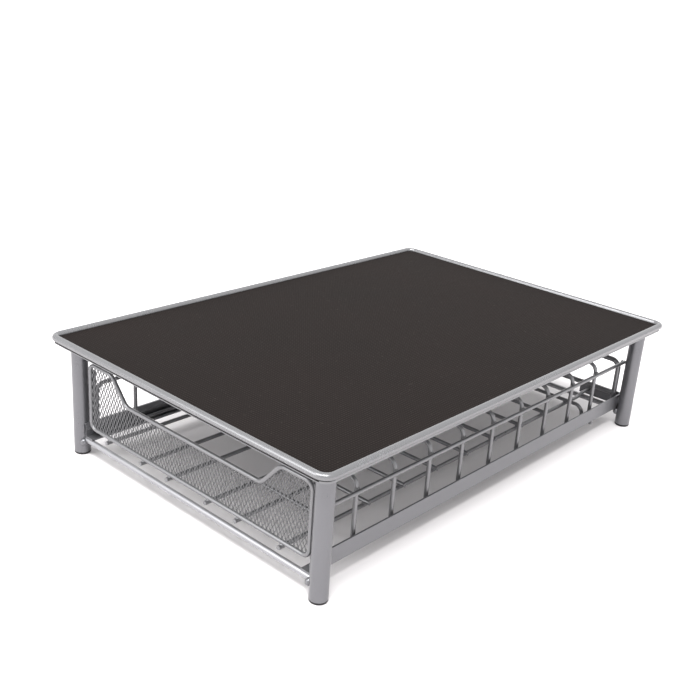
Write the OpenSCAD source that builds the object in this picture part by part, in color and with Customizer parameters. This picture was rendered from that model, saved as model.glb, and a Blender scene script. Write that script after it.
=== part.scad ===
// Coffee pod drawer: a low steel stand with a matted platform, and a wire drawer that slides
// out of its front. Millimetres, +Z up, the origin on the ground under the middle of the stand.
// X is the width and Y the depth. The drawer's front faces -Y.

/* [Platform] */
// Width over the rolled rim
platform_w = 320; // [296:1:400]
// Depth over the rolled rim
platform_d = 472; // [460:1:560]
// Height from the ground to the crown of the rim
stand_h = 108.5; // [104:0.5:140]
// Diameter of the rolled rim
rim_d = 6; // [5:0.25:8]
// Corner radius outside the rolled rim
rim_corner_r = 11; // [9:0.5:20]
// Depth of the flat that seats the rim on the deck
rim_flat = 1.7; // [0.3:0.1:2]
// Thickness of the deck sheet
deck_t = 1.6; // [0.8:0.1:2]
// Distance of the deck's edge inside the rim's outer side
deck_setback = 4.5; // [4:0.1:6]
// Height of the lip under the deck's edge
lip_h = 1.6; // [1:0.1:4]
// Width of the lip under the deck's edge
lip_w = 4; // [3:0.5:6]
// Distance of the lip inside the rim's outer side
lip_setback = 2; // [1:0.1:2.5]
// Thickness of the mat
mat_t = 1.6; // [1:0.1:3]
// Clearance between the mat's edge and the rim
mat_gap = 0.2; // [0.1:0.05:0.5]

/* [Legs and feet] */
// Diameter of a leg tube
leg_d = 14; // [12:0.5:18]
// Wall of a leg tube
leg_wall = 1.2; // [0.8:0.1:2]
// Distance of a leg's axis from the platform's side
leg_inset_x = 17.4; // [15:0.1:22]
// Distance of a leg's axis from the platform's front or rear
leg_inset_y = 19.4; // [17:0.1:24]
// Height of a foot cap below its tube
foot_h = 1.8; // [1.5:0.1:6]
// Height of the plug that a foot cap has in its tube
plug_h = 9; // [5:0.5:14]
// Clearance of the plug in its tube
plug_gap = 0.1; // [0.05:0.05:0.3]

/* [Rails and rods] */
// Height of the rails' underside above the ground
rail_z = 16.3; // [14:0.1:22]
// Height of a rail
rail_h = 13.5; // [11:0.5:16]
// Thickness of a rail's sheet
rail_t = 1.5; // [1:0.1:2]
// Width of a rail's bottom flange over the wall
flange_w = 10; // [9:0.5:12]
// Radius of the bead pressed along a rail's wall
bead_r = 0.9; // [0.5:0.1:1.2]
// Height of the bead above a rail's underside
bead_h = 7.6; // [6.5:0.1:9]
// Length of a rail in front of the front leg's axis
rail_lead = 1.4; // [0:0.1:5]
// Distance from the rear leg's axis to the back of a rail's end tab
tab_lead = 5; // [4.2:0.1:7]
// Length of a rail's end tab, inward from its wall
tab_len = 46; // [30:1:60]
// Inside bend radius between a rail's wall and its end tab
tab_bend_r = 2; // [1:0.5:4]
// Length of the flange cut away before the end tab
flange_relief = 8; // [4:0.5:14]
// Diameter of the cross rods
rod_d = 5; // [4:0.25:6]

/* [Drawer] */
// Diameter of the drawer's wire
wire_d = 3.5; // [3:0.1:4]
// Side clearance between the drawer and the legs
side_gap = 0.35; // [0.3:0.05:1]
// Running clearance of the runners over the rails' flanges
runner_gap = 0.05; // [0.03:0.01:0.1]
// Height of the upper side wires' axis
upper_z = 63.6; // [56:0.1:66]
// Distance from the panel back to the upper wires' front ends
upper_setback = 8; // [6:0.5:14]
// Bend radius of the upper wires at the front
upper_bend_r = 7; // [4:0.5:12]
// Clearance under the upper wires' front ends, above the rails
upper_end_gap = 1; // [0.5:0.1:4]
// Bend radius of the runners at the front
runner_bend_r = 6; // [4:0.5:8]
// Height of the runners' upturned front ends above the panel's bottom wire
runner_rise = 51.5; // [12:0.5:54]

/* [Front panel] */
// Distance of the front panel behind the platform's front
panel_setback = 21; // [20:0.5:30]
// Height of the panel's bottom wire
panel_z = 26.7; // [26.3:0.1:29]
// Height of the panel's shoulders
shoulder_z = 85.1; // [80:0.1:90]
// Half the distance between the shoulders, at the top of the finger cut-out
shoulder_x = 99; // [92:0.5:104]
// Height of the wire under the finger cut-out
cutout_z = 64; // [58:0.5:68]
// Half the length of the wire under the finger cut-out
cutout_x = 80; // [70:0.5:84]
// Radius of the panel's lower corners
panel_low_r = 6.5; // [5:0.5:14]
// Radius of the panel's upper corners
panel_top_r = 6.5; // [5:0.5:10]
// Radius of the bends of the finger cut-out
cutout_r = 10; // [5:0.5:12]
// Thickness of the panel's expanded sheet
mesh_t = 0.8; // [0.6:0.1:1.2]
// Distance between openings of one row of the sheet
mesh_pitch_x = 6.2; // [6:0.1:10]
// Distance between the sheet's rows of one phase
mesh_pitch_z = 12.4; // [12:0.2:18]
// Width of a strand of the sheet
strand_w = 1; // [0.8:0.1:1.6]
// Least width of the sheet's solid edge
mesh_edge = 0.6; // [0.4:0.1:2]

/* [Pod rack] */
// Number of hoops
hoop_count = 9; // [5:1:9]
// Distance from the panel to the first hoop
hoop_first = 44.6; // [30:0.1:48]
// Distance from the last hoop to the rear frame
hoop_last = 48.8; // [36:0.1:60]
// Height of the hoops' cross part
hoop_z = 72.5; // [68:0.1:80]
// Bend radius of the hoops
hoop_r = 8; // [5:0.5:12]
// Distance of the inner floor wires from the middle
floor_inner_x = 23.3; // [16:0.1:30]
// Distance of the middle floor wires from the middle
floor_middle_x = 57.1; // [45:0.1:70]
// Distance of the outer floor wires from the middle
floor_outer_x = 103.5; // [90:0.1:106]
// Length of the floor wires in front of the panel's axis
floor_lead = 3.8; // [2:0.1:5]
// Length of the cross wires past the outer floor wires
cross_lead = 5.5; // [3:0.1:8]
// Clearance between the keeper wire and a rail's flange
keeper_gap = 1; // [0.8:0.1:1.4]
// Radius of the keeper wire's upper bends
keeper_top_r = 8.5; // [6:0.5:9]
// Radius of the keeper wire's hooks
keeper_hook_r = 4; // [3.6:0.1:4.2]
// Distance of the keeper hooks' tips inside a leg
keeper_tip_gap = 0.8; // [0.6:0.1:2]

/* [Rear frame] */
// Diameter of the rear frame's rod
rear_d = 5; // [4:0.25:6]
// Distance of the rear frame in front of the platform's rear
rear_setback = 21; // [20.5:0.5:28]
// Height of the rear frame's cross part
rear_z = 63.6; // [56:0.1:68]
// Bend radius of the rear frame
rear_r = 8; // [6:0.5:12]
// Height of the rear bar
bar_z = 29.8; // [29.2:0.1:33]
// Distance from the rear frame at which the floor wires start to rise
floor_rise_y = 24; // [20:0.5:34]
// Length along which the floor wires rise to the rear bar
floor_rise_len = 8; // [6:0.5:12]
// Bend radius of the floor wires' rise
floor_rise_r = 6; // [4:0.5:10]

/* [Hidden] */
sides = ["left", "right"];
floor_xs = [-floor_outer_x, -floor_middle_x, -floor_inner_x, floor_inner_x, floor_middle_x, floor_outer_x];
cross_count = hoop_count - 1;
function numbered(name, count) = [for (i = [1:count]) str(name, "_", i)];

$fn = 48;
silver = [0.62, 0.62, 0.64];
mat_black = [0.17, 0.16, 0.155];
cap_black = [0.06, 0.06, 0.06];

// Heights of the platform's layers
rim_z = stand_h - rim_d / 2;
deck_top_z = stand_h - rim_d + rim_flat;
deck_z = deck_top_z - deck_t;

// Places of the legs, and the faces that the drawer runs between
leg_x = platform_w / 2 - leg_inset_x;
leg_y = platform_d / 2 - leg_inset_y;
leg_inner_x = leg_x - leg_d / 2;
rail_inner_x = leg_inner_x - rail_t;
flange_inner_x = leg_inner_x - flange_w;
flange_top_z = rail_z + rail_t;
rail_top_z = rail_z + rail_h;
rod_z = rail_z - rod_d / 2;

// Places of the drawer's wires, each laid against the next
wire_r = wire_d / 2;
upper_x = leg_inner_x - side_gap - wire_r;
hoop_x = upper_x - wire_d;
runner_z = flange_top_z + runner_gap + wire_r;
hoop_foot_z = runner_z + wire_r;
panel_y = -(platform_d / 2 - panel_setback);
runner_front_y = panel_y + wire_d;
floor_z = panel_z - wire_d;
cross_z = floor_z + wire_d;
rear_y = platform_d / 2 - rear_setback;
rear_x = hoop_x + wire_r - rear_d / 2;
drawer_back_y = rear_y + rear_d / 2;
bar_seat_z = bar_z - rear_d / 2 - wire_r;

// Places of the keeper wire's hooks, which run under the rails' flanges
keeper_x = flange_inner_x - keeper_gap - wire_r;
keeper_hook_z = rail_z - keeper_gap - wire_r;
keeper_tip_x = leg_inner_x - keeper_tip_gap;

// Size of the sheet's openings, for strands of strand_w between diamonds
diamond_slope = norm([mesh_pitch_x, mesh_pitch_z]);
diamond_x = mesh_pitch_x / 2 - strand_w * diamond_slope / mesh_pitch_z / 2;
diamond_z = mesh_pitch_z / 2 - strand_w * diamond_slope / mesh_pitch_x / 2;

// ---- Paths of bent wire, in a plane ----

function unit(v) = v / norm(v);
function wrap(list, i) = list[(i + len(list)) % len(list)];
function turn_between(a, b) = atan2(cross(a, b), a * b);

// How much thicker than the wire a bend is, at its radius, and how far it laps the straights
bend_swell = 0.01;
bend_lap = 0.1;

// Signed angle by which a path turns at point i
function turn_at(points, i) =
    turn_between(points[i] - wrap(points, i - 1), wrap(points, i + 1) - points[i]);

// Length that a bend of radius r takes from the path on each side of point i
function bend_cut(points, i, r) = r * tan(abs(turn_at(points, i)) / 2);

// The left side's normal of a direction
function left_of(v) = [-v.y, v.x];

// Angle of a direction
function heading(v) = atan2(v.y, v.x);

// Straight wire from a to b
module straight(a, b, d) {
    translate([a.x, a.y, 0])
        rotate([0, 0, heading(b - a)])
            rotate([0, 90, 0])
                cylinder(d = d, h = norm(b - a));
}

// Bend of radius r at point i of a path. It is a hair thicker than the wire and reaches a little
// over both its ends, so that straight and bent wire join into one solid at any angle.
module bend(points, i, r, d) {
    ahead = unit(points[i] - wrap(points, i - 1));
    turn = turn_at(points, i);
    side = turn > 0 ? 1 : -1;
    centre = points[i] - ahead * bend_cut(points, i, r) + left_of(ahead) * r * side;
    over = bend_lap / r * 180 / PI;
    translate([centre.x, centre.y, 0])
        rotate([0, 0, heading(ahead) - 90 * side + min(turn, 0) - over])
            rotate_extrude(angle = abs(turn) + 2 * over)
                translate([r, 0])
                    circle(d = d + 2 * bend_swell);
}

// Wire along a path of points in the XY plane, with a bend radius at each point between its
// ends, or at every point of a closed path
module bent_wire(points, radii, d, closed = false) {
    last = len(points) - 1;
    cuts = [for (i = [0:last]) closed || (i > 0 && i < last) ? bend_cut(points, i, radii[i]) : 0];
    for (i = [0:closed ? last : last - 1]) {
        a = points[i];
        b = wrap(points, i + 1);
        ahead = unit(b - a);
        lap_a = closed || i > 0 ? bend_lap : 0;
        lap_b = closed || i < last - 1 ? bend_lap : 0;
        straight(a + ahead * (cuts[i] - lap_a), b - ahead * (wrap(cuts, i + 1) - lap_b), d);
    }
    for (i = [closed ? 0 : 1:closed ? last : last - 1])
        bend(points, i, radii[i], d);
}

// Puts a drawing in the XY plane upright across the object, at depth y
module across(y) {
    translate([0, y, 0])
        rotate([90, 0, 0])
            children();
}

// Puts a drawing whose first axis is Y and second Z upright along the object, at x
module along(x) {
    translate([x, 0, 0])
        rotate([90, 0, 90])
            children();
}

// ---- Shapes shared by several pieces ----

// Solid with a rounded rectangle for its outline
module rounded_plate(w, d, r, h) {
    for (size = [[w - 2 * r, d], [w, d - 2 * r]])
        translate([-size.x / 2, -size.y / 2, 0])
            cube([size.x, size.y, h]);
    for (sx = [-1, 1], sy = [-1, 1])
        translate([sx * (w / 2 - r), sy * (d / 2 - r), 0])
            cylinder(r = r, h = h);
}

// Rod between two legs at depth y, coped to the tubes
module cross_rod(y) {
    color(silver)
        difference() {
            translate([-leg_x, y, rod_z])
                rotate([0, 90, 0])
                    cylinder(d = rod_d, h = 2 * leg_x);
            for (sx = [-1, 1])
                translate([sx * leg_x, y, 0])
                    cylinder(d = leg_d, h = stand_h);
        }
}

// ---- Stand ----

// Rolled rim round the mat, flat where it sits on the deck
module platform_rim() {
    half_w = platform_w / 2 - rim_d / 2;
    half_d = platform_d / 2 - rim_d / 2;
    corners = [[-half_w, -half_d], [half_w, -half_d], [half_w, half_d], [-half_w, half_d]];
    radius = rim_corner_r - rim_d / 2;
    color(silver)
        difference() {
            translate([0, 0, rim_z])
                bent_wire(corners, [for (c = corners) radius], rim_d, closed = true);
            translate([-platform_w / 2, -platform_d / 2, deck_top_z - rim_d])
                cube([platform_w, platform_d, rim_d]);
        }
}

// Sheet deck with a lip under its edge
module platform_deck() {
    lip_out_w = platform_w - 2 * lip_setback;
    lip_out_d = platform_d - 2 * lip_setback;
    color(silver) {
        translate([0, 0, deck_z])
            rounded_plate(platform_w - 2 * deck_setback, platform_d - 2 * deck_setback,
                rim_corner_r - deck_setback, deck_t);
        translate([0, 0, deck_z - lip_h])
            difference() {
                rounded_plate(lip_out_w, lip_out_d, rim_corner_r - lip_setback, lip_h);
                translate([0, 0, -lip_h])
                    rounded_plate(lip_out_w - 2 * lip_w, lip_out_d - 2 * lip_w,
                        rim_corner_r - lip_setback - lip_w, 3 * lip_h);
            }
    }
}

// Mat laid on the deck inside the rim
module top_mat() {
    inset = rim_d + mat_gap;
    color(mat_black)
        translate([0, 0, deck_top_z])
            rounded_plate(platform_w - 2 * inset, platform_d - 2 * inset, rim_corner_r - inset, mat_t);
}

// Leg tube at the side sx and the end sy
module leg(sx, sy) {
    color(silver)
        translate([sx * leg_x, sy * leg_y, foot_h])
            difference() {
                cylinder(d = leg_d, h = deck_z - foot_h);
                translate([0, 0, -foot_h])
                    cylinder(d = leg_d - 2 * leg_wall, h = deck_z);
            }
}

// Foot cap plugged into a leg tube
module foot_cap(sx, sy) {
    color(cap_black)
        translate([sx * leg_x, sy * leg_y, 0]) {
            cylinder(d = leg_d, h = foot_h);
            cylinder(d = leg_d - 2 * leg_wall - 2 * plug_gap, h = foot_h + plug_h);
        }
}

// Rail between the legs of one side: a wall with a bead, a bottom flange for the runner and a
// rear end bent inward behind the drawer
module rail(sx) {
    front_y = -leg_y - rail_lead;
    back_y = leg_y + tab_lead;
    bend_y = back_y - rail_t - tab_bend_r;
    bend_x = rail_inner_x - tab_bend_r;
    color(silver)
        mirror([sx < 0 ? 1 : 0, 0, 0]) {
            translate([rail_inner_x, front_y, rail_z])
                cube([rail_t, bend_y - front_y, rail_h]);
            translate([flange_inner_x, front_y, rail_z])
                cube([flange_w, bend_y - flange_relief - front_y, rail_t]);
            translate([rail_inner_x, front_y, rail_z + bead_h])
                rotate([-90, 0, 0])
                    cylinder(r = bead_r, h = bend_y - front_y);
            translate([bend_x, bend_y, rail_z])
                rotate_extrude(angle = 90)
                    translate([tab_bend_r, 0])
                        square([rail_t, rail_h]);
            translate([leg_inner_x - tab_len, back_y - rail_t, rail_z])
                cube([bend_x - leg_inner_x + tab_len, rail_t, rail_h]);
        }
}

module front_cross_rod() {
    cross_rod(-leg_y);
}

module rear_cross_rod() {
    cross_rod(leg_y);
}

// ---- Drawer ----

// Path of the front panel's wire, from its lower right corner upward, and its bend radii
panel_path = [
    [hoop_x, panel_z],
    [hoop_x, shoulder_z],
    [shoulder_x, shoulder_z],
    [cutout_x, cutout_z],
    [-cutout_x, cutout_z],
    [-shoulder_x, shoulder_z],
    [-hoop_x, shoulder_z],
    [-hoop_x, panel_z]
];
panel_radii = [
    panel_low_r, panel_top_r, cutout_r, cutout_r, cutout_r, cutout_r, panel_top_r, panel_low_r
];

// Front panel's wire, with the finger cut-out in its upper edge
module front_frame() {
    color(silver)
        across(panel_y)
            bent_wire(panel_path, panel_radii, wire_d, closed = true);
}

// The panel's path moved inward by a distance, point by point along the corners' bisectors
function inset_point(points, i, by) =
    let (
        n1 = left_of(unit(points[i] - wrap(points, i - 1))),
        n2 = left_of(unit(wrap(points, i + 1) - points[i]))
    )
    points[i] + (n1 + n2) * by / (1 + n1 * n2);

// Points along the bend of radius r at point i, one every bend_step degrees or less
bend_step = 6;
function bend_points(points, i, r) =
    let (
        ahead = unit(points[i] - wrap(points, i - 1)),
        turn = turn_at(points, i),
        side = turn > 0 ? 1 : -1,
        centre = points[i] - ahead * bend_cut(points, i, r) + left_of(ahead) * r * side,
        steps = ceil(abs(turn) / bend_step),
        start = heading(ahead) - 90 * side
    )
    [for (k = [0:steps]) centre + r * [cos(start + turn * k / steps), sin(start + turn * k / steps)]];

// Outline of the sheet, along the inner side of the panel's wire
sheet_path = [for (i = [0:len(panel_path) - 1]) inset_point(panel_path, i, wire_r)];
sheet_radii = [
    for (i = [0:len(panel_path) - 1])
        panel_radii[i] - (turn_at(panel_path, i) > 0 ? wire_r : -wire_r)
];
sheet_outline = [
    for (i = [0:len(sheet_path) - 1]) each bend_points(sheet_path, i, sheet_radii[i])
];

// Height of the sheet's upper edge at a distance x from the middle
function sheet_top(x) =
    lookup(abs(x), [
        [0, sheet_path[3].y],
        [sheet_path[3].x, sheet_path[3].y],
        [sheet_path[2].x, sheet_path[2].y],
        [sheet_path[1].x, sheet_path[1].y]
    ]);

// True where an opening centred on [x, z] leaves the sheet its solid edge, also in the corners
function opening_fits(x, z) =
    let (
        out_x = abs(x) + diamond_x + mesh_edge,
        low_z = z - diamond_z - mesh_edge,
        high_z = z + diamond_z + mesh_edge,
        right = sheet_path[0].x,
        low = sheet_path[0].y,
        corner = panel_low_r / 2
    )
    out_x < right
    && low_z > low
    && high_z < sheet_top(max(abs(x) - diamond_x - mesh_edge, 0))
    && high_z < sheet_top(abs(x))
    && (out_x < right - corner || (low_z > low + corner && high_z < sheet_path[1].y - corner));

// Expanded sheet in the front panel, cut through with staggered diamonds
module front_mesh() {
    columns = ceil(hoop_x / mesh_pitch_x);
    rows = ceil(shoulder_z / mesh_pitch_z);
    color(silver)
        across(panel_y + mesh_t / 2)
            difference() {
                linear_extrude(mesh_t)
                    polygon(sheet_outline);
                for (phase = [0, 0.5], col = [-columns:columns], row = [0:rows]) {
                    x = (col + phase) * mesh_pitch_x;
                    z = panel_z + (row + phase + 0.5) * mesh_pitch_z + wire_r;
                    if (opening_fits(x, z))
                        translate([x, z, -mesh_t])
                            linear_extrude(3 * mesh_t)
                                polygon([[diamond_x, 0], [0, diamond_z], [-diamond_x, 0], [0, -diamond_z]]);
                }
            }
}

// Side wire along the outside of the hoops, turned down behind the front panel
module upper_wire(sx) {
    front_y = panel_y + upper_setback;
    path = [[drawer_back_y, upper_z], [front_y, upper_z], [front_y, rail_top_z + upper_end_gap]];
    color(silver)
        along(sx * upper_x)
            bent_wire(path, [0, upper_bend_r, 0], wire_d);
}

// Side wire that slides on a rail's flange, turned up behind the front panel
module runner_wire(sx) {
    path = [[drawer_back_y, runner_z], [runner_front_y, runner_z], [runner_front_y, panel_z + runner_rise]];
    color(silver)
        along(sx * hoop_x)
            bent_wire(path, [0, runner_bend_r, 0], wire_d);
}

// Depth of hoop i, counted from the front, with even gaps between the first hoop and the last
hoop_pitch = (rear_y - hoop_last - panel_y - hoop_first) / (hoop_count - 1);
function hoop_y(i) = panel_y + hoop_first + (i - 1) * hoop_pitch;

// Hoop over the drawer, standing on both runners
module hoop(i) {
    path = [[hoop_x, hoop_foot_z], [hoop_x, hoop_z], [-hoop_x, hoop_z], [-hoop_x, hoop_foot_z]];
    color(silver)
        across(hoop_y(i))
            bent_wire(path, [0, hoop_r, hoop_r, 0], wire_d);
}

// Floor wire from under the front panel to under the rear bar, to which it rises at the back
module floor_wire(i) {
    rise_y = rear_y - floor_rise_y;
    path = [
        [panel_y - floor_lead, floor_z],
        [rise_y, floor_z],
        [rise_y + floor_rise_len, bar_seat_z],
        [drawer_back_y, bar_seat_z]
    ];
    color(silver)
        along(floor_xs[i - 1])
            bent_wire(path, [0, floor_rise_r, floor_rise_r, 0], wire_d);
}

// Cross wire on the floor wires, under hoop i
module cross_wire(i) {
    half = floor_outer_x + cross_lead;
    color(silver)
        across(hoop_y(i))
            straight([-half, cross_z], [half, cross_z], wire_d);
}

// Last cross wire, whose ends go down inside the rails and hook out under their flanges. The
// hooks keep the open drawer from tipping, and stop it against the front cross rod.
module keeper_wire() {
    path = [
        [keeper_tip_x, keeper_hook_z],
        [keeper_x, keeper_hook_z],
        [keeper_x, cross_z],
        [-keeper_x, cross_z],
        [-keeper_x, keeper_hook_z],
        [-keeper_tip_x, keeper_hook_z]
    ];
    color(silver)
        across(hoop_y(hoop_count))
            bent_wire(path, [0, keeper_hook_r, keeper_top_r, keeper_top_r, keeper_hook_r, 0], wire_d);
}

// Stout frame at the drawer's rear, standing on both runners
module rear_frame() {
    path = [[rear_x, hoop_foot_z], [rear_x, rear_z], [-rear_x, rear_z], [-rear_x, hoop_foot_z]];
    color(silver)
        across(rear_y)
            bent_wire(path, [0, rear_r, rear_r, 0], rear_d);
}

// Bar between the rear frame's uprights, on the floor wires' ends
module rear_bar() {
    half = rear_x - rear_d / 2;
    color(silver)
        across(rear_y)
            straight([-half, bar_z], [half, bar_z], rear_d);
}

platform_rim();
platform_deck();
top_mat();
leg(-1, -1);  // leg_front_left
leg(1, -1);  // leg_front_right
leg(-1, 1);  // leg_rear_left
leg(1, 1);  // leg_rear_right
foot_cap(-1, -1);  // foot_cap_front_left
foot_cap(1, -1);  // foot_cap_front_right
foot_cap(-1, 1);  // foot_cap_rear_left
foot_cap(1, 1);  // foot_cap_rear_right
rail(-1);  // rail_left
rail(1);  // rail_right
front_cross_rod();
rear_cross_rod();
front_frame();
front_mesh();
upper_wire(-1);  // upper_wire_left
upper_wire(1);  // upper_wire_right
runner_wire(-1);  // runner_wire_left
runner_wire(1);  // runner_wire_right
for (i = [1:hoop_count]) hoop(i);
for (i = [1:len(floor_xs)]) floor_wire(i);
for (i = [1:cross_count]) cross_wire(i);
keeper_wire();
rear_frame();
rear_bar();
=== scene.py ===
"""Pod drawer under a matted stand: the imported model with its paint, mat, mesh front, foot caps and
welds. Sizes written in millimetres are turned to metres where a piece is made."""

import bpy
import numpy as np
from mathutils import Matrix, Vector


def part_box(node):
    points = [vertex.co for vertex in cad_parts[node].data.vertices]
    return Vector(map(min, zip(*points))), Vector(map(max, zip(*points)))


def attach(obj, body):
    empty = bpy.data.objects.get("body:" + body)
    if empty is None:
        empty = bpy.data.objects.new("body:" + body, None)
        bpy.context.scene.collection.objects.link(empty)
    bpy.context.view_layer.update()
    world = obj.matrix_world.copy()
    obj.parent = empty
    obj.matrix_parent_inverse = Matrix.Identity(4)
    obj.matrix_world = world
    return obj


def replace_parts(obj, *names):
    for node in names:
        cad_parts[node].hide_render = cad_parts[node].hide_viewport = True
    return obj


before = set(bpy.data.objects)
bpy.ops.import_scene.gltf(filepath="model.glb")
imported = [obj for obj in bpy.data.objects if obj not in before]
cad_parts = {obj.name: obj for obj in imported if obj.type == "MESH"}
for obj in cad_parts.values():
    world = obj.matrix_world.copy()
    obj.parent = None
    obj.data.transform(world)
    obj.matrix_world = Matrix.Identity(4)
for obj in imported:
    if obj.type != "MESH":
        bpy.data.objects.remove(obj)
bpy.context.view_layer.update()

MM = 0.001

# ---- The photograph's view, in a 700 by 700 pixel frame ----

VIEW_AZIMUTH = 41.1
VIEW_ELEVATION = 21.379
VIEW_ROLL = 4.243
CAMERA_PLACE = (0.51718, -0.63217, 0.40413)
FOCAL_PIXELS = 974.014
FRAME_PIXELS = 700
SENSOR_MM = 36

# ---- Sizes of the model that its boxes don't give, in millimetres ----

# Wire of the drawer, radii of the front panel's corners, half widths of its finger cut-out at the
# top and at the bottom, and the height of the wire there
WIRE_D = 3.5
PANEL_LOW_R = 6.5
PANEL_TOP_R = 6.5
SHOULDER_X = 99.0
CUTOUT_X = 80.0
CUTOUT_Z = 64.0

# Mat: radius of its corners, softening of its upper edge, width of the flat ring inside that edge,
# and chamfer of its lower edge
MAT_CORNER_R = 4.8
MAT_SOFT = 0.7
MAT_RING = 0.4
MAT_CHAMFER = 0.3

# Foot cap: height of its button and radii of the button's lower and upper edge, depth of the hollow
# under it and distances of the hollow's slanted side from the button's side, and its plug's radius
# and chamfer
CAP_H = 1.8
CAP_LOW_R = 0.9
CAP_TOP_R = 0.25
HOLLOW_H = 0.15
HOLLOW_TOP = 2.4
HOLLOW_LOW = 2.0
PLUG_R = 5.7
PLUG_CHAMFER = 0.6

# Expanded sheet: pitch of its diamonds, width, thickness and tilt of its strands, height of a bond
# between two strands, how far the strands wave in depth, the share of a strand's width that its axis
# keeps from the middle of a bond, and how far strands go past the sheet's sides and past the axis
# of the wire above and below them
DIAMOND_W = 4.0
DIAMOND_H = 7.0
STRAND_W = 0.5
STRAND_T = 0.35
STRAND_TILT = 0.12
BOND_H = 0.9
STRAND_WAVE = 0.12
BOND_SHARE = 0.46
SHEET_REACH = 0.6
STRAND_LAP = 0.3

# Half sizes of the weld beads
HOOP_FOOT_BEAD = (2.1, 2.5, 0.9)
HOOP_SIDE_BEAD = (0.9, 2.2, 2.2)
REAR_FOOT_BEAD = (2.5, 3.2, 1.0)
REAR_SIDE_BEAD = (0.9, 3.0, 2.2)
BAR_END_BEAD = (1.3, 2.9, 2.9)
RISER_BEAD = (2.0, 0.9, 3.2)
FLOOR_BEAD = (2.2, 2.2, 0.9)
BAR_FLOOR_BEAD = (2.2, 2.8, 0.9)
ROD_BEAD = (3.0, 3.6, 3.2)
RAIL_BEAD = (0.8, 1.3, 4.6)

# Places of weld beads: the risers' above the panel's low side and below the risers' ends, the rods'
# in front of and below the rod, and the rails' into the leg, from the leg's axis and below the
# rail's top
RISER_LOW = 12
RISER_TOP = 4
ROD_BEAD_AHEAD = 2.6
ROD_BEAD_DROP = 1.4
RAIL_BEAD_IN = 0.35
RAIL_BEAD_APART = 2.4
RAIL_BEAD_DROP = 5.5

# Painted shade under the rim along the front: the deck's edge is painted dark above this height and
# before this depth, for the rim's shadow
SHADE_LINE_Z = 101.7
SHADE_LINE_Y = -233.5

# Weave of the mat: its pitch and depth
WEAVE_PITCH = 2.4
WEAVE_DEPTH = 0.2

# Depth of the grain of the foot caps
CAP_GRAIN_DEPTH = 0.04

# ---- Paint and rubber ----

# Share of bare metal in the silver paint
METAL_SHARE = 0.72

# Features a metre of the paint's grain, clouds and skin, of the mat's wiped patches and dust, and of
# the caps' grain
GRAIN_SCALE = 2600
CLOUD_SCALE = 28
SKIN_SCALE = 900
PATCH_SCALE = 9
DUST_SCALE = 420
CAP_GRAIN_SCALE = 1500

# Dust on the mat: the noise at which it starts, how sharply it does, and how much of it covers
DUST_START = 0.66
DUST_GAIN = 6
DUST_COVER = 0.3

# ---- Floor, in metres ----

FLOOR_HALF = 120.0
FLOOR_Z = -0.0002


# ---- Meshes ----


def box_mm(node):
    """Lowest and highest corner of a CAD node, in millimetres."""
    low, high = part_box(node)
    return np.array(low) / MM, np.array(high) / MM


def grid_quads(rows, columns):
    """Quads between neighbours in a stack of closed rings, whose points are numbered row by row."""
    row = np.arange(rows - 1)[:, None]
    column = np.arange(columns)[None, :]
    next_column = (column + 1) % columns
    corners = [
        row * columns + column,
        row * columns + next_column,
        (row + 1) * columns + next_column,
        (row + 1) * columns + column,
    ]
    return np.stack(corners, axis=-1).reshape(-1, 4)


def make_piece(name, points_mm, faces, paint, body, smooth=True):
    """Piece with its points given in millimetres and its faces as arrays of rows of indices."""
    mesh = bpy.data.meshes.new(name)
    mesh.vertices.add(len(points_mm))
    mesh.vertices.foreach_set("co", (points_mm * MM).astype(np.float32).ravel())
    sides = np.concatenate([np.full(len(group), group.shape[1]) for group in faces])
    corners = np.concatenate([group.ravel() for group in faces]).astype(np.int32)
    mesh.loops.add(len(corners))
    mesh.loops.foreach_set("vertex_index", corners)
    mesh.polygons.add(len(sides))
    mesh.polygons.foreach_set("loop_start", (np.cumsum(sides) - sides).astype(np.int32))
    mesh.polygons.foreach_set("use_smooth", np.full(len(sides), smooth))
    mesh.update(calc_edges=True)
    mesh.materials.append(paint)
    piece = bpy.data.objects.new(name, mesh)
    bpy.context.collection.objects.link(piece)
    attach(piece, body)
    return piece


def revolved(profile, centre, steps=40):
    """Closed solid of revolution about the upright line through centre.

    A point is centre + r (cos a, sin a) at height z, for each (r, z) of the profile and each angle a.
    The profile starts and ends on the axis, where the ring shrinks to one point.
    """
    angles = np.linspace(0, 2 * np.pi, steps, endpoint=False)
    rings = profile[1:-1]
    x = centre[0] + rings[:, :1] * np.cos(angles)
    y = centre[1] + rings[:, :1] * np.sin(angles)
    z = np.broadcast_to(rings[:, 1:], x.shape)
    poles = np.array([[*centre, profile[0, 1]], [*centre, profile[-1, 1]]])
    points = np.concatenate([np.stack([x, y, z], axis=-1).reshape(-1, 3), poles])
    quads = grid_quads(len(rings), steps)
    here = np.arange(steps)
    after = (here + 1) % steps
    bottom, top = len(points) - 2, len(points) - 1
    last_ring = (len(rings) - 1) * steps
    low_fan = np.stack([np.full(steps, bottom), after, here], axis=-1)
    high_fan = np.stack([np.full(steps, top), last_ring + here, last_ring + after], axis=-1)
    return points, [quads, np.concatenate([low_fan, high_fan])]


def fillet(centre, radius, start, end, steps=6):
    """Points of an arc in a profile, centre + radius (cos a, sin a) for a from start to end degrees."""
    a = np.radians(np.linspace(start, end, steps))
    return np.stack([centre[0] + radius * np.cos(a), centre[1] + radius * np.sin(a)], axis=-1)


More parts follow.
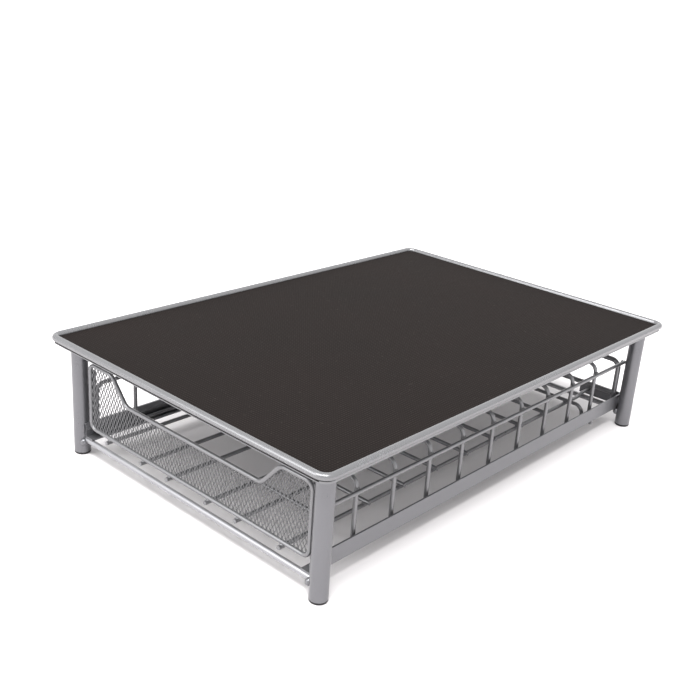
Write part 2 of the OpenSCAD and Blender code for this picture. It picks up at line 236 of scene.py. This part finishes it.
def rounded_rectangle(half_w, half_d, radius, inset, steps=10):
    """Points round a rectangle with round corners, moved in by inset.

    A point is the centre of its corner + (radius - inset) (cos a, sin a), a quarter turn a corner.
    """
    start = np.array([0, 90, 180, 270])[:, None]
    a = np.radians(start + np.linspace(0, 90, steps)[None, :])
    sign_x = np.array([1, -1, -1, 1])[:, None]
    sign_y = np.array([1, 1, -1, -1])[:, None]
    x = sign_x * (half_w - radius) + (radius - inset) * np.cos(a)
    y = sign_y * (half_d - radius) + (radius - inset) * np.sin(a)
    return np.stack([x.ravel(), y.ravel()], axis=-1)


def mat_surface():
    """Mat with a softened upper edge, as rings of one rounded outline and flat ends.

    An upper ring lies inside the outline by s (1 - cos a) and below the top by s (1 - sin a), where s
    is the softening and a runs from 0 to a quarter turn.
    """
    low, high = box_mm("top_mat")
    a = np.radians(np.linspace(0, 90, 7))
    insets = np.concatenate([[MAT_CHAMFER, 0.0], MAT_SOFT * (1 - np.cos(a)), [MAT_SOFT + MAT_RING]])
    upper = high[2] - MAT_SOFT * (1 - np.sin(a))
    heights = np.concatenate([[low[2], low[2] + MAT_CHAMFER], upper, [high[2]]])
    half = (high - low) / 2
    middle = (high + low) / 2
    rings = [rounded_rectangle(half[0], half[1], MAT_CORNER_R, inset) + middle[:2] for inset in insets]
    count = len(rings[0])
    flat = np.concatenate(rings)
    points = np.column_stack([flat, np.repeat(heights, count)])
    top = (len(rings) - 1) * count + np.arange(count)
    bottom = np.arange(count)[::-1]
    return points, [grid_quads(len(rings), count), top[None, :], bottom[None, :]]


def cap_solid(node):
    """Foot cap: a rounded button under the tube with its plug inside, as a revolved profile.

    The profile runs from the axis along the hollow's roof and slanted side, round the button's two
    edges, up the plug and over its chamfer back to the axis.
    """
    low, high = box_mm(node)
    centre = ((low + high) / 2)[:2]
    outer = (high[0] - low[0]) / 2
    profile = np.concatenate([
        [[0, low[2] + HOLLOW_H], [outer - HOLLOW_TOP, low[2] + HOLLOW_H], [outer - HOLLOW_LOW, low[2]]],
        fillet((outer - CAP_LOW_R, low[2] + CAP_LOW_R), CAP_LOW_R, -90, 0),
        fillet((outer - CAP_TOP_R, CAP_H - CAP_TOP_R), CAP_TOP_R, 0, 90, 4),
        [[PLUG_R, CAP_H], [PLUG_R, high[2] - PLUG_CHAMFER]],
        [[PLUG_R - PLUG_CHAMFER, high[2]], [0, high[2]]],
    ])
    return revolved(profile, centre)


def panel_low(x):
    """Height of the axis of the front wire's lower side at x.

    It is the lowest height + r - sqrt(r^2 - d^2), where r is the radius of the corner and d is how far
    x lies past the start of the corner.
    """
    side = box_mm("front_frame")[1][0] - WIRE_D / 2
    base = box_mm("front_frame")[0][2] + WIRE_D / 2
    past = np.clip(np.abs(x) - (side - PANEL_LOW_R), 0, PANEL_LOW_R)
    return base + PANEL_LOW_R - np.sqrt(PANEL_LOW_R**2 - past**2)


def panel_high(x):
    """Height of the axis of the front wire's upper side at x.

    It is the lower of two heights: the shoulder's - r + sqrt(r^2 - d^2), with r and d as on the lower
    side, and a straight rise from the bottom of the finger cut-out to its shoulder.
    """
    side = box_mm("front_frame")[1][0] - WIRE_D / 2
    shoulder = box_mm("front_frame")[1][2] - WIRE_D / 2
    past = np.clip(np.abs(x) - (side - PANEL_TOP_R), 0, PANEL_TOP_R)
    corner = shoulder - PANEL_TOP_R + np.sqrt(PANEL_TOP_R**2 - past**2)
    cut = np.interp(np.abs(x), [CUTOUT_X, SHOULDER_X], [CUTOUT_Z, shoulder])
    return np.minimum(cut, corner)


def expanded_sheet():
    """Expanded sheet of the drawer's front, made of upright strands that wave from side to side.

    Strand s has its axis at x = s p / 2 for diamonds p wide. It sways from it by (-1)^s (p / 4 - c w)
    times clip(tri(u) / (1 - 2 b), -1, 1), where tri(u) = 2 |u mod 2 - 1| - 1, u is the height in
    half diamonds, b is a bond's share of a diamond, w is the strand's width and c is BOND_SHARE. At
    each bond it meets a neighbour swaying the other way. The cross-section is a tilted ribbon. Each
    strand ends inside the front wire, above and below.
    """
    low, high = box_mm("front_mesh")
    depth = (low[1] + high[1]) / 2
    side_strands = int((high[0] + SHEET_REACH) / (DIAMOND_W / 2))
    strand = np.arange(-side_strands, side_strands + 1)[:, None]
    axis_x = strand * DIAMOND_W / 2
    first_z = low[2] - WIRE_D / 2
    bonds = int((high[2] + WIRE_D - low[2]) / (DIAMOND_H / 2)) + 3
    bond_z = first_z + np.arange(bonds) * DIAMOND_H / 2
    level_z = np.stack([bond_z - BOND_H / 2, bond_z + BOND_H / 2], axis=-1).reshape(1, -1)
    z = np.clip(level_z, panel_low(axis_x) - STRAND_LAP, panel_high(axis_x) + STRAND_LAP)
    triangle = 2 * np.abs((z - first_z) / (DIAMOND_H / 2) % 2 - 1) - 1
    lean = (-1.0) ** strand * np.clip(triangle / (1 - 2 * BOND_H / DIAMOND_H), -1, 1)
    x = axis_x + (DIAMOND_W / 4 - BOND_SHARE * STRAND_W) * lean
    y = depth - STRAND_WAVE * lean
    half_w, half_t = STRAND_W / 2, STRAND_T / 2
    ring_x = np.array([-half_w, half_w, half_w, -half_w])
    ring_y = np.array([-1, 1, 1, -1]) * STRAND_TILT + np.array([-1, -1, 1, 1]) * half_t
    points = np.stack(
        [x[..., None] + ring_x, y[..., None] + ring_y, np.repeat(z[..., None], 4, axis=-1)], axis=-1
    )
    strands, levels = x.shape
    side = np.arange(4)
    start = (np.arange(strands)[:, None, None] * levels + np.arange(levels - 1)[None, :, None]) * 4
    after = start + (side + 1) % 4
    quads = np.stack([start + side, after, after + 4, start + 4 + side], axis=-1)
    used = (z[:, 1:] - z[:, :-1]) > 1e-6
    first = used.argmax(axis=1)
    last = levels - 1 - used[:, ::-1].argmax(axis=1)
    ends = np.arange(strands) * levels
    low_caps = (ends + first)[:, None] * 4 + side[::-1]
    high_caps = (ends + last)[:, None] * 4 + side
    faces = np.concatenate([quads[used].reshape(-1, 4), low_caps, high_caps])
    kept, renumbered = np.unique(faces, return_inverse=True)
    return points.reshape(-1, 3)[kept], [renumbered.reshape(faces.shape)]


def beads(places, halves, rows=5, columns=10):
    """Weld beads: ellipsoids about each place with the half sizes of its row.

    A point is place + half * (cos u cos v, cos u sin v, sin u), with u from pole to pole.
    """
    u = np.radians(np.linspace(-90, 90, rows + 2)[1:-1])[:, None]
    v = np.linspace(0, 2 * np.pi, columns, endpoint=False)[None, :]
    ring = np.stack([np.cos(u) * np.cos(v), np.cos(u) * np.sin(v), np.sin(u) + 0 * v], axis=-1)
    unit = np.concatenate([ring.reshape(-1, 3), [[0, 0, -1], [0, 0, 1]]])
    points = np.asarray(places)[:, None, :] + np.asarray(halves)[:, None, :] * unit
    quads = grid_quads(rows, columns)
    here = np.arange(columns)
    after = (here + 1) % columns
    last = (rows - 1) * columns
    low_fan = np.stack([np.full(columns, len(unit) - 2), after, here], axis=-1)
    high_fan = np.stack([np.full(columns, len(unit) - 1), last + here, last + after], axis=-1)
    shift = (np.arange(len(points)) * len(unit))[:, None, None]
    quads = (quads + shift).reshape(-1, 4)
    fans = (np.concatenate([low_fan, high_fan]) + shift).reshape(-1, 3)
    return points.reshape(-1, 3), [quads, fans]


# ---- Shader nodes ----


class Value:
    """An output of a node, on which +, - and * add Math nodes, with a number on either side."""

    def __init__(self, finish, socket):
        self.finish = finish
        self.socket = socket

    def math(self, operation, first, second=0.0):
        return self.finish.node("ShaderNodeMath", {"operation": operation}, {0: first, 1: second})

    def __add__(self, other):
        return self.math("ADD", self, other)

    def __radd__(self, other):
        return self.math("ADD", other, self)

    def __sub__(self, other):
        return self.math("SUBTRACT", self, other)

    def __rsub__(self, other):
        return self.math("SUBTRACT", other, self)

    def __mul__(self, other):
        return self.math("MULTIPLY", self, other)

    def __rmul__(self, other):
        return self.math("MULTIPLY", other, self)


class Finish:
    """A material whose nodes are added one by one."""

    def __init__(self, name):
        self.material = bpy.data.materials.new(name)
        self.material.use_nodes = True
        self.tree = self.material.node_tree
        self.tree.nodes.clear()

    def node(self, kind, settings=None, inputs=None, output=0):
        """New node of a kind: its settings first, then the values or links of its sockets."""
        made = self.tree.nodes.new(kind)
        for name, value in (settings or {}).items():
            setattr(made, name, value)
        for name, value in (inputs or {}).items():
            if isinstance(value, Value):
                self.tree.links.new(value.socket, made.inputs[name])
            else:
                made.inputs[name].default_value = value
        return Value(self, made.outputs[output])

    def place(self):
        """The piece's own coordinates, in metres."""
        return self.node("ShaderNodeTexCoord", output="Object")

    def axis(self, place, number):
        """One coordinate of a place: 0 for X, 1 for Y and 2 for Z."""
        return self.node("ShaderNodeSeparateXYZ", None, {0: place}, output=number)

    def noise(self, place, scale, detail=2.0, roughness=0.5):
        """Noise from 0 to 1 with features about 1 / scale metres across."""
        inputs = {"Vector": place, "Scale": scale, "Detail": detail, "Roughness": roughness}
        return self.node("ShaderNodeTexNoise", {"noise_dimensions": "3D"}, inputs)

    def blend(self, factor, first, second):
        """Colour between two colours."""
        return self.node(
            "ShaderNodeMix", {"data_type": "RGBA"}, {0: factor, 6: first, 7: second}, output=2
        )

    def bump(self, height, distance, strength):
        """Normal of a surface raised by height times distance."""
        inputs = {"Height": height, "Distance": distance, "Strength": strength}
        return self.node("ShaderNodeBump", None, inputs)

    def wave(self, coordinate, pitch):
        """Cosine of a coordinate with a pitch in metres, from 0 to 1."""
        turn = coordinate * (2 * np.pi / pitch)
        return turn.math("COSINE", turn) * 0.5 + 0.5

    def surface(self, inputs):
        """Ends the material with one Principled surface."""
        shader = self.node("ShaderNodeBsdfPrincipled", None, inputs)
        end = self.tree.nodes.new("ShaderNodeOutputMaterial")
        self.tree.links.new(shader.socket, end.inputs["Surface"])
        return self.material


def colour(red, green, blue):
    """Linear colour of three display values from 0 to 255."""
    values = np.array([red, green, blue]) / 255
    linear = np.where(values <= 0.04045, values / 12.92, ((values + 0.055) / 1.055) ** 2.4)
    return (*linear.tolist(), 1.0)


# Painted shade: colour of the rim's shadow, painted on the deck's front edge
PAINTED_SHADE_COLOUR = colour(18, 18, 19)


def silver_paint(name, light, dark, roughness, peel, shade_line=False):
    """Satin silver stoving paint: fine metal grain in its colour and an orange-peel surface.

    The peel is its depth in millimetres. When asked, the sheet's front edge under the rim is painted
    dark: painted shade for the rim's shadow.
    """
    finish = Finish(name)
    place = finish.place()
    grain = finish.noise(place, GRAIN_SCALE, 1.0)
    cloud = finish.noise(place, CLOUD_SCALE, 3.0)
    tone = finish.blend(grain * 0.55 + cloud * 0.45, dark, light)
    # Painted shade: the front edge under the rim is painted dark where the rim's shadow falls
    if shade_line:
        depth = finish.axis(place, 1)
        height = finish.axis(place, 2)
        in_front = depth.math("LESS_THAN", depth, SHADE_LINE_Y * MM)
        in_shade_line = height.math("GREATER_THAN", height, SHADE_LINE_Z * MM) * in_front
        tone = finish.blend(in_shade_line, tone, PAINTED_SHADE_COLOUR)
    skin = finish.noise(place, SKIN_SCALE, 2.0)
    return finish.surface({
        "Base Color": tone,
        "Metallic": METAL_SHARE,
        "Roughness": roughness + (cloud - 0.5) * 0.10 + (grain - 0.5) * 0.08,
        "Normal": finish.bump(skin, peel * MM, 0.5),
        "Specular IOR Level": 0.5,
    })


def mat_rubber():
    """Black rubber with a fine woven emboss, wiped patches and a little dust."""
    finish = Finish("mat_rubber")
    place = finish.place()
    pitch = WEAVE_PITCH * MM
    weave = finish.wave(finish.axis(place, 0), pitch) * finish.wave(finish.axis(place, 1), pitch)
    patch = finish.noise(place, PATCH_SCALE, 4.0, 0.6)
    dust = finish.noise(place, DUST_SCALE, 3.0, 0.7)
    specks = (dust - DUST_START) * DUST_GAIN
    cover = specks.math("MAXIMUM", specks, 0.0) * DUST_COVER
    worn = finish.blend(patch, colour(15, 13, 12), colour(28, 23, 22))
    raised = finish.blend(weave * 0.8, worn, colour(40, 34, 32))
    tone = finish.blend(cover, raised, colour(120, 114, 108))
    return finish.surface({
        "Base Color": tone,
        "Roughness": 0.72 + patch * 0.12 - weave * 0.05,
        "Normal": finish.bump(weave + dust * 0.15, WEAVE_DEPTH * MM, 0.8),
        "Specular IOR Level": 0.07,
    })


def cap_plastic():
    """Black moulded plastic with a fine grain."""
    finish = Finish("cap_plastic")
    place = finish.place()
    grain = finish.noise(place, CAP_GRAIN_SCALE, 2.0)
    tone = finish.blend(grain, colour(14, 14, 15), colour(26, 26, 27))
    return finish.surface({
        "Base Color": tone,
        "Roughness": 0.5 + grain * 0.15,
        "Normal": finish.bump(grain, CAP_GRAIN_DEPTH * MM, 0.5),
        "Specular IOR Level": 0.4,
    })


STAND = silver_paint("stand_paint", colour(121, 121, 124), colour(109, 109, 112), 0.30, 0.03)
RAIL = silver_paint("rail_paint", colour(130, 130, 133), colour(118, 118, 121), 0.38, 0.05)
# The rods' paint is the stand's silver painted lighter: painted light standing in for light falling on
# the rods
ROD = silver_paint("rod_paint", colour(160, 160, 163), colour(148, 148, 151), 0.32, 0.05)
RIM = silver_paint("rim_paint", colour(132, 132, 134), colour(120, 120, 122), 0.26, 0.005)
# The deck's paint carries the painted shade under the front of the rim
DECK = silver_paint("deck_paint", colour(134, 134, 136), colour(122, 122, 124), 0.40, 0.04, True)
WIRE = silver_paint("wire_paint", colour(132, 132, 134), colour(118, 118, 120), 0.30, 0.03)
MESH = silver_paint("mesh_paint", colour(114, 114, 116), colour(100, 100, 102), 0.42, 0.02)
MAT = mat_rubber()
CAP = cap_plastic()


# ---- CAD nodes keep their shapes and get their paint ----


# Paint of the nodes whose names start like this; every other node is drawer wire
NODE_PAINTS = (
    ("platform_rim", RIM),
    ("platform_deck", DECK),
    ("top_mat", MAT),
    ("leg_", STAND),
    ("foot_cap_", CAP),
    ("rail_", RAIL),
    ("front_cross_rod", ROD),
    ("rear_cross_rod", ROD),
    ("front_mesh", MESH),
)

for name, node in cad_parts.items():
    paints = [paint for start, paint in NODE_PAINTS if name.startswith(start)]
    node.data.materials.clear()
    node.data.materials.append(paints[0] if paints else WIRE)

# ---- Pieces that stand for CAD nodes ----

points, faces = mat_surface()
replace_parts(make_piece("mat", points, faces, MAT, "stand"), "top_mat")

for end in ("front", "rear"):
    for side in ("left", "right"):
        points, faces = cap_solid(f"foot_cap_{end}_{side}")
        cap = make_piece(f"cap_{end}_{side}", points, faces, CAP, "stand")
        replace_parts(cap, f"foot_cap_{end}_{side}")

points, faces = expanded_sheet()
sheet = make_piece("expanded_sheet", points, faces, MESH, "drawer", smooth=False)
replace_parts(sheet, "front_mesh")


# ---- Welds ----


def centre_of(node):
    """Middle of a CAD node's box, in millimetres."""
    low, high = box_mm(node)
    return (low + high) / 2


def drawer_welds():
    """Places and half sizes of the weld beads where the drawer's wires cross."""
    places, halves = [], []

    def weld(x, y, z, half):
        places.append((x, y, z))
        halves.append(half)

    hoops = [f"hoop_{i}" for i in range(1, 10)]
    floors = [f"floor_wire_{i}" for i in range(1, 7)]
    crosses = [f"cross_wire_{i}" for i in range(1, 9)] + ["keeper_wire"]
    floor_top = box_mm("floor_wire_1")[0][2] + WIRE_D
    runner_top = box_mm("hoop_1")[0][2]
    upper_x = box_mm("hoop_1")[1][0]
    upper_z = box_mm("upper_wire_left")[1][2] - WIRE_D / 2
    runner_x = upper_x - WIRE_D / 2
    for sign in (-1, 1):
        for hoop in hoops:
            y = centre_of(hoop)[1]
            weld(sign * runner_x, y, runner_top, HOOP_FOOT_BEAD)
            weld(sign * upper_x, y, upper_z, HOOP_SIDE_BEAD)
        rear = centre_of("rear_frame")
        weld(sign * runner_x, rear[1], runner_top, REAR_FOOT_BEAD)
        weld(sign * upper_x, rear[1], upper_z, REAR_SIDE_BEAD)
        weld(sign * box_mm("rear_bar")[1][0], rear[1], centre_of("rear_bar")[2], BAR_END_BEAD)
        riser_y = centre_of("front_frame")[1] + WIRE_D / 2
        panel_bottom = box_mm("front_frame")[0][2]
        riser_top = box_mm("runner_wire_left")[1][2]
        for z in (panel_bottom + RISER_LOW, riser_top - RISER_TOP):
            weld(sign * runner_x, riser_y, z, RISER_BEAD)
    for floor in floors:
        x = centre_of(floor)[0]
        for cross in crosses:
            weld(x, centre_of(cross)[1], floor_top, FLOOR_BEAD)
        weld(x, centre_of("front_frame")[1], floor_top, FLOOR_BEAD)
        weld(x, centre_of("rear_bar")[1], box_mm("rear_bar")[0][2], BAR_FLOOR_BEAD)
    return places, halves


def stand_welds():
    """Places and half sizes of the weld beads where rods and rails meet the legs."""
    places, halves = [], []
    for end in ("front", "rear"):
        rod = centre_of(f"{end}_cross_rod")
        for sign, side in ((-1, "left"), (1, "right")):
            low, high = box_mm(f"leg_{end}_{side}")
            inner_x = high[0] if sign < 0 else low[0]
            leg_y = (low[1] + high[1]) / 2
            places.append((inner_x, rod[1] - ROD_BEAD_AHEAD, rod[2] - ROD_BEAD_DROP))
            halves.append(ROD_BEAD)
            rail_x = inner_x + sign * RAIL_BEAD_IN
            rail_z = box_mm(f"rail_{side}")[1][2] - RAIL_BEAD_DROP
            for step in (-1, 1):
                places.append((rail_x, leg_y + step * RAIL_BEAD_APART, rail_z))
                halves.append(RAIL_BEAD)
    return places, halves


points, faces = beads(*drawer_welds())
make_piece("drawer_welds", points, faces, WIRE, "drawer")
points, faces = beads(*stand_welds())
make_piece("stand_welds", points, faces, STAND, "stand")


# ---- Camera, lights and floor ----


def view_matrix():
    """Turn of the camera: it looks along the azimuth, down by the elevation and rolled.

    Its columns are right, up and back. Right is ahead x Z and up is right x ahead, before the roll.
    """
    azimuth, elevation, roll = np.radians([VIEW_AZIMUTH, VIEW_ELEVATION, VIEW_ROLL])
    ahead = np.array([
        -np.sin(azimuth) * np.cos(elevation),
        np.cos(azimuth) * np.cos(elevation),
        -np.sin(elevation),
    ])
    right = np.cross(ahead, [0, 0, 1])
    right /= np.linalg.norm(right)
    up = np.cross(right, ahead)
    turned_right = right * np.cos(roll) + up * np.sin(roll)
    turned_up = up * np.cos(roll) - right * np.sin(roll)
    return np.column_stack([turned_right, turned_up, -ahead])


def make_camera():
    """Camera that sees what the photograph shows."""
    camera = bpy.data.objects.new("camera", bpy.data.cameras.new("camera"))
    camera.data.sensor_width = SENSOR_MM
    camera.data.lens = FOCAL_PIXELS / FRAME_PIXELS * SENSOR_MM
    camera.data.clip_start = 0.01
    camera.matrix_world = Matrix.Translation(CAMERA_PLACE) @ Matrix(view_matrix().tolist()).to_4x4()
    bpy.context.collection.objects.link(camera)
    bpy.context.scene.camera = camera


def make_light(name, place, target, size, power):
    """Soft square light at a place, turned to a target."""
    light = bpy.data.objects.new(name, bpy.data.lights.new(name, "AREA"))
    light.data.shape = "RECTANGLE"
    light.data.size, light.data.size_y = size
    light.data.energy = power
    away = Matrix.Translation(place).to_translation() - Matrix.Translation(target).to_translation()
    light.matrix_world = Matrix.Translation(place) @ away.to_track_quat("Z", "Y").to_matrix().to_4x4()
    bpy.context.collection.objects.link(light)


def make_sky_light(name, towards, spread, strength):
    """Even light from far away in one direction, softened over a spread in degrees."""
    light = bpy.data.objects.new(name, bpy.data.lights.new(name, "SUN"))
    light.data.angle = np.radians(spread)
    light.data.energy = strength
    away = Matrix.Translation(towards).to_translation()
    light.matrix_world = away.to_track_quat("Z", "Y").to_matrix().to_4x4()
    bpy.context.collection.objects.link(light)


def make_floor():
    """Plain white floor just under the feet."""
    finish = Finish("floor_white")
    place = finish.place()
    grain = finish.noise(place, 3.0)
    tone = finish.blend(grain, (0.725, 0.705, 0.71, 1), (0.745, 0.725, 0.73, 1))
    white = finish.surface({"Base Color": tone, "Roughness": 0.9, "Specular IOR Level": 0.1})
    mesh = bpy.data.meshes.new("floor")
    signs = ((-1, -1), (1, -1), (1, 1), (-1, 1))
    corners = [(x * FLOOR_HALF, y * FLOOR_HALF, FLOOR_Z) for x, y in signs]
    mesh.from_pydata(corners, [], [(0, 1, 2, 3)])
    mesh.materials.append(white)
    floor = bpy.data.objects.new("floor", mesh)
    bpy.context.collection.objects.link(floor)


def make_world(strength):
    """Even white surroundings."""
    world = bpy.data.worlds.new("studio")
    world.use_nodes = True
    background = world.node_tree.nodes["Background"]
    background.inputs["Color"].default_value = (1, 1, 1, 1)
    background.inputs["Strength"].default_value = strength
    bpy.context.scene.world = world


make_camera()
make_world(strength=1.32)
make_sky_light("left_light", towards=(-0.3, -0.6, 1.0), spread=30, strength=1.5)
make_sky_light("right_light", towards=(0.25, -0.3, 1.0), spread=20, strength=3.0)
make_light("front_softbox", (-0.85, -1.45, 0.8), target=(0, -0.2, 0.08), size=(0.7, 0.9), power=8)
make_floor()
bpy.context.scene.view_settings.view_transform = "Standard"
bpy.context.scene.view_settings.look = "None"
